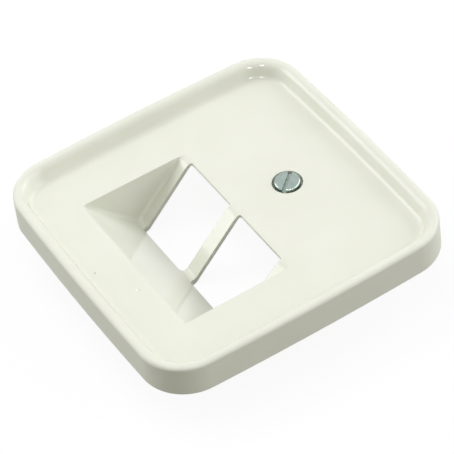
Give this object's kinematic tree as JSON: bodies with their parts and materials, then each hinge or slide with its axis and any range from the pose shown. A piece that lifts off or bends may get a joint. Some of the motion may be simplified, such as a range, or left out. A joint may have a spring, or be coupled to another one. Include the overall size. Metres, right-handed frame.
{
  "type": "data outlet cover plate",
  "caption": "Square moulded cover plate with a raised rim, a slanted recess holding jack ports split by a bar, and a slotted screw that fixes it over a data outlet.",
  "frame": {"origin": "centre of the plate on the plane of its back rim, which bears on the outlet or the frame behind it", "axes": "+Z out of the face, +Y up on the wall, +X to the right seen from the front"},
  "size_m": [0.063, 0.063, 0.015],
  "materials": {
    "cover_plastic": "glossy cream white moulding",
    "screw_steel": "zinc plated steel"
  },
  "bodies": {
    "plate": {"cover_plate": "cover_plastic"},
    "screw": {"fixing_screw": "screw_steel"}
  },
  "joints": [
    {"name": "screw_turn", "type": "hinge", "parent": "plate", "child": "screw", "pos_m": [0, 0.01405, 0], "axis": [0, 0, 1], "continuous": true}
  ]
}
